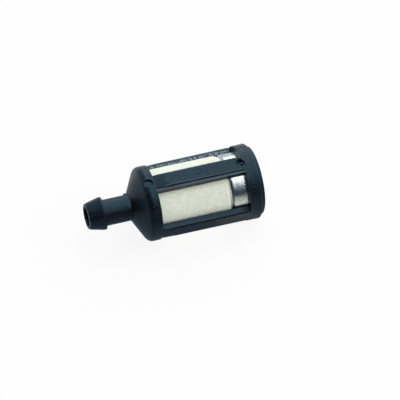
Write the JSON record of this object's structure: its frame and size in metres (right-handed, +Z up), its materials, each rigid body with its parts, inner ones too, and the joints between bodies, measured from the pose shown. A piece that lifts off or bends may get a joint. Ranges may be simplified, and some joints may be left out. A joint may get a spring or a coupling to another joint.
{
  "type": "fuel filter",
  "caption": "In-tank pick-up fuel filter: barbed hose nipple, windowed nylon cage, felt tube on a slotted core and a plated weight at the far end.",
  "frame": {"origin": "centre of the nipple's mouth, on the filter's axis", "axes": "+X along the axis, from the nipple's mouth to the weighted end; +Z up as the filter lies on its side; one rib faces 15.5 degrees from +Z towards -Y"},
  "size_m": [0.0348, 0.0158, 0.0158],
  "materials": {
    "black_nylon": "satin moulded black nylon with a fine grain",
    "filter_felt": "off-white pressed felt",
    "natural_nylon": "undyed moulded nylon",
    "plated_steel": "bright nickel-plated steel"
  },
  "bodies": {
    "root": {"filter_housing": "black_nylon", "felt_element": "filter_felt", "support_core": "natural_nylon", "end_weight": "plated_steel", "retaining_ring": "black_nylon"}
  },
  "joints": []
}
